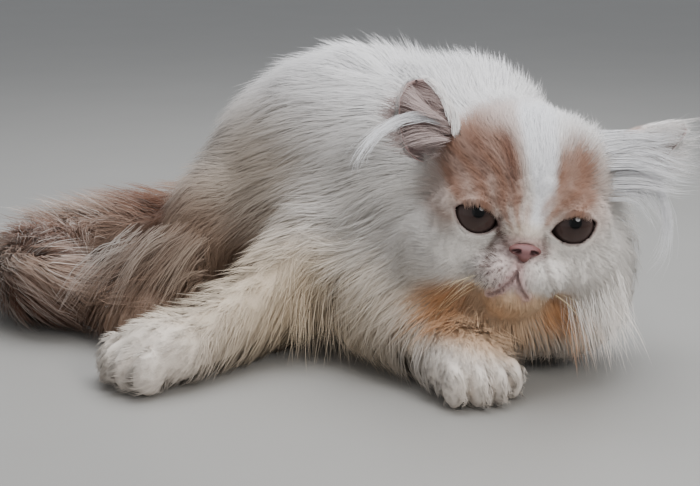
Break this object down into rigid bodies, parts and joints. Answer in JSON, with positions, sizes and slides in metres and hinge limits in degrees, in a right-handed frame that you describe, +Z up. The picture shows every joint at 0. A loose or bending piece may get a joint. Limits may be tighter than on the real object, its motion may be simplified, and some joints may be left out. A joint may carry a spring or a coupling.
{
  "type": "long-haired cat figure",
  "caption": "Life-size long-haired flat-faced cat lying with its head low over a forepaw and its plumed tail curled at its side, a still display model.",
  "frame": {"origin": "bottom centre of the bounding box, on the floor that the cat lies on", "axes": "+X towards the cat's left side as its face sees it, the longest extent; the face looks along -Y; +Z up"},
  "size_m": [0.3838, 0.3226, 0.1492],
  "materials": {
    "coat": "soft white fur",
    "plume": "soft red and cream fur",
    "nose": "moist leather",
    "eye": "wet gloss"
  },
  "bodies": {
    "root": {"head": "coat", "neck": "coat", "torso": "coat", "foreleg_left": "coat", "foreleg_right": "coat", "forepaw_left": "coat", "forepaw_right": "coat", "hindleg_left": "coat", "hindleg_right": "coat", "hindpaw_left": "coat", "hindpaw_right": "coat", "ear_left": "coat", "ear_right": "coat", "tail_base": "plume", "tail_middle": "plume", "tail_tip": "plume", "nose": "nose", "eye_left": "eye", "eye_right": "eye"}
  },
  "joints": []
}
